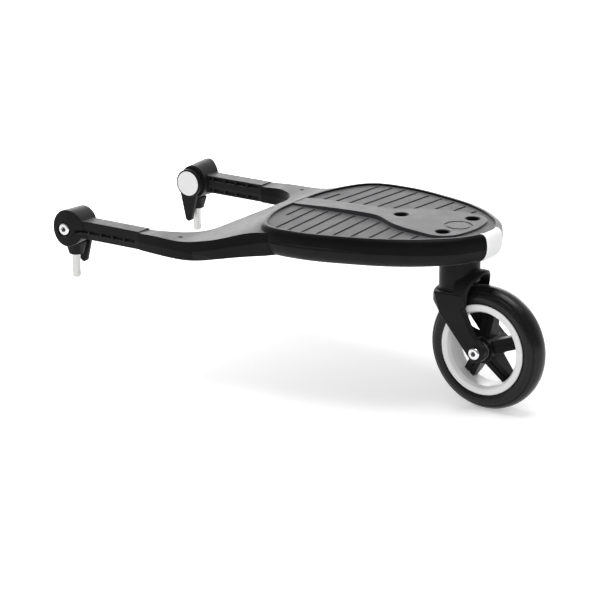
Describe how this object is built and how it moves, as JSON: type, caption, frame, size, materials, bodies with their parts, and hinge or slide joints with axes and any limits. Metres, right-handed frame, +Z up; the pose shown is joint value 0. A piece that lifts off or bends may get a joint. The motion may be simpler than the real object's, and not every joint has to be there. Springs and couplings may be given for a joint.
{
  "type": "buggy board",
  "caption": "Ride-on board for the back of a pushchair: grooved oval deck on a swivel caster, with two hinged arm ends that carry locking pins and release levers",
  "frame": {"origin": "midway between the two connector pins, level with the shoulders they stand out of", "axes": "+X from the pins to the tail of the deck, +Y to the left, +Z up"},
  "size_m": [0.5859, 0.2924, 0.2103],
  "materials": {
    "body_plastic": "satin charcoal",
    "lower_plastic": "matt charcoal",
    "tread_rubber": "grained non-slip",
    "plate_plastic": "satin dark grey",
    "socket_plastic": "matt black",
    "wheel_plastic": "satin black",
    "button_plastic": "satin black",
    "white_plastic": "white",
    "rim_silver": "light silver",
    "bush_nylon": "natural nylon",
    "tyre_rubber": "black rubber",
    "bright_steel": "bright",
    "zinc_steel": "zinc plated",
    "bolt_chrome": "polished",
    "insert_brass": "turned"
  },
  "bodies": {
    "board": {"yoke_upper": "body_plastic", "yoke_lower": "lower_plastic", "deck_upper": "body_plastic", "deck_lower": "lower_plastic", "reflector_strip": "white_plastic", "tread_mat_left": "tread_rubber", "tread_mat_right": "tread_rubber", "centre_plate": "plate_plastic", "badge_disc": "plate_plastic", "seat_sockets": "socket_plastic", "cover_screws": "zinc_steel", "caster_housing": "body_plastic", "housing_screws": "zinc_steel", "swivel_bush_upper": "bush_nylon", "swivel_bush_lower": "bush_nylon", "arm_left": "body_plastic", "arm_right": "body_plastic", "pivot_bush_left": "bush_nylon", "pivot_bush_right": "bush_nylon", "button_spring_left": "zinc_steel", "button_spring_right": "zinc_steel"},
    "fork": {"fork": "body_plastic", "stem": "bright_steel", "stem_clip": "zinc_steel", "thrust_washer": "bush_nylon", "axle_bolt": "bolt_chrome", "axle_nut": "zinc_steel", "axle_spacers": "bush_nylon"},
    "wheel": {"tyre": "tyre_rubber", "rim": "rim_silver", "wheel_centre": "wheel_plastic", "wheel_bearings": "bright_steel"},
    "left_connector": {"connector_left": "body_plastic", "pivot_bolt_left": "bolt_chrome", "pivot_insert_left": "insert_brass", "pin_left": "bright_steel", "lock_balls_left": "bright_steel", "lever_retainer_left": "bright_steel"},
    "left_lever": {"lever_left": "body_plastic", "lever_cap_left": "white_plastic"},
    "left_plunger": {"plunger_left": "zinc_steel"},
    "left_button": {"lock_button_left": "button_plastic"},
    "right_connector": {"connector_right": "body_plastic", "pivot_bolt_right": "bolt_chrome", "pivot_insert_right": "insert_brass", "pin_right": "bright_steel", "lock_balls_right": "bright_steel", "lever_retainer_right": "bright_steel"},
    "right_lever": {"lever_right": "body_plastic", "lever_cap_right": "white_plastic"},
    "right_plunger": {"plunger_right": "zinc_steel"},
    "right_button": {"lock_button_right": "button_plastic"}
  },
  "joints": [
    {"name": "caster_swivel", "type": "hinge", "parent": "board", "child": "fork", "pos_m": [0.4565, 0, 0.03], "axis": [0, 0, 1], "continuous": true},
    {"name": "wheel_spin", "type": "hinge", "parent": "fork", "child": "wheel", "pos_m": [0.4961, 0, -0.0595], "axis": [0, 1, 0], "continuous": true},
    {"name": "left_connector_pivot", "type": "hinge", "parent": "board", "child": "left_connector", "pos_m": [0, 0.1223, 0.0342], "axis": [0, 1, 0], "range_deg": [-10, 85]},
    {"name": "left_lever_turn", "type": "hinge", "parent": "left_connector", "child": "left_lever", "pos_m": [0, 0.1223, 0.0342], "axis": [0, 1, 0], "range_deg": [0, 60]},
    {"name": "left_plunger_slide", "type": "slide", "parent": "left_connector", "child": "left_plunger", "axis": [0, 0, 1], "range_m": [0, 0.0036]},
    {"name": "left_button_press", "type": "slide", "parent": "board", "child": "left_button", "axis": [0, 0, -1], "range_m": [0, 0.004], "stiffness_N_per_m": 400, "springref_m": -0.002, "deforming": ["button_spring_left"]},
    {"name": "right_connector_pivot", "type": "hinge", "parent": "board", "child": "right_connector", "pos_m": [0, -0.1223, 0.0342], "axis": [0, 1, 0], "range_deg": [-10, 85]},
    {"name": "right_lever_turn", "type": "hinge", "parent": "right_connector", "child": "right_lever", "pos_m": [0, -0.1223, 0.0342], "axis": [0, 1, 0], "range_deg": [0, 60]},
    {"name": "right_plunger_slide", "type": "slide", "parent": "right_connector", "child": "right_plunger", "axis": [0, 0, 1], "range_m": [0, 0.0036]},
    {"name": "right_button_press", "type": "slide", "parent": "board", "child": "right_button", "axis": [0, 0, -1], "range_m": [0, 0.004], "stiffness_N_per_m": 400, "springref_m": -0.002, "deforming": ["button_spring_right"]}
  ],
  "couplings": [
    {"joint": "left_plunger_slide", "follows": "left_lever_turn", "m_per_rad": 0.003437},
    {"joint": "right_plunger_slide", "follows": "right_lever_turn", "m_per_rad": 0.003437}
  ]
}
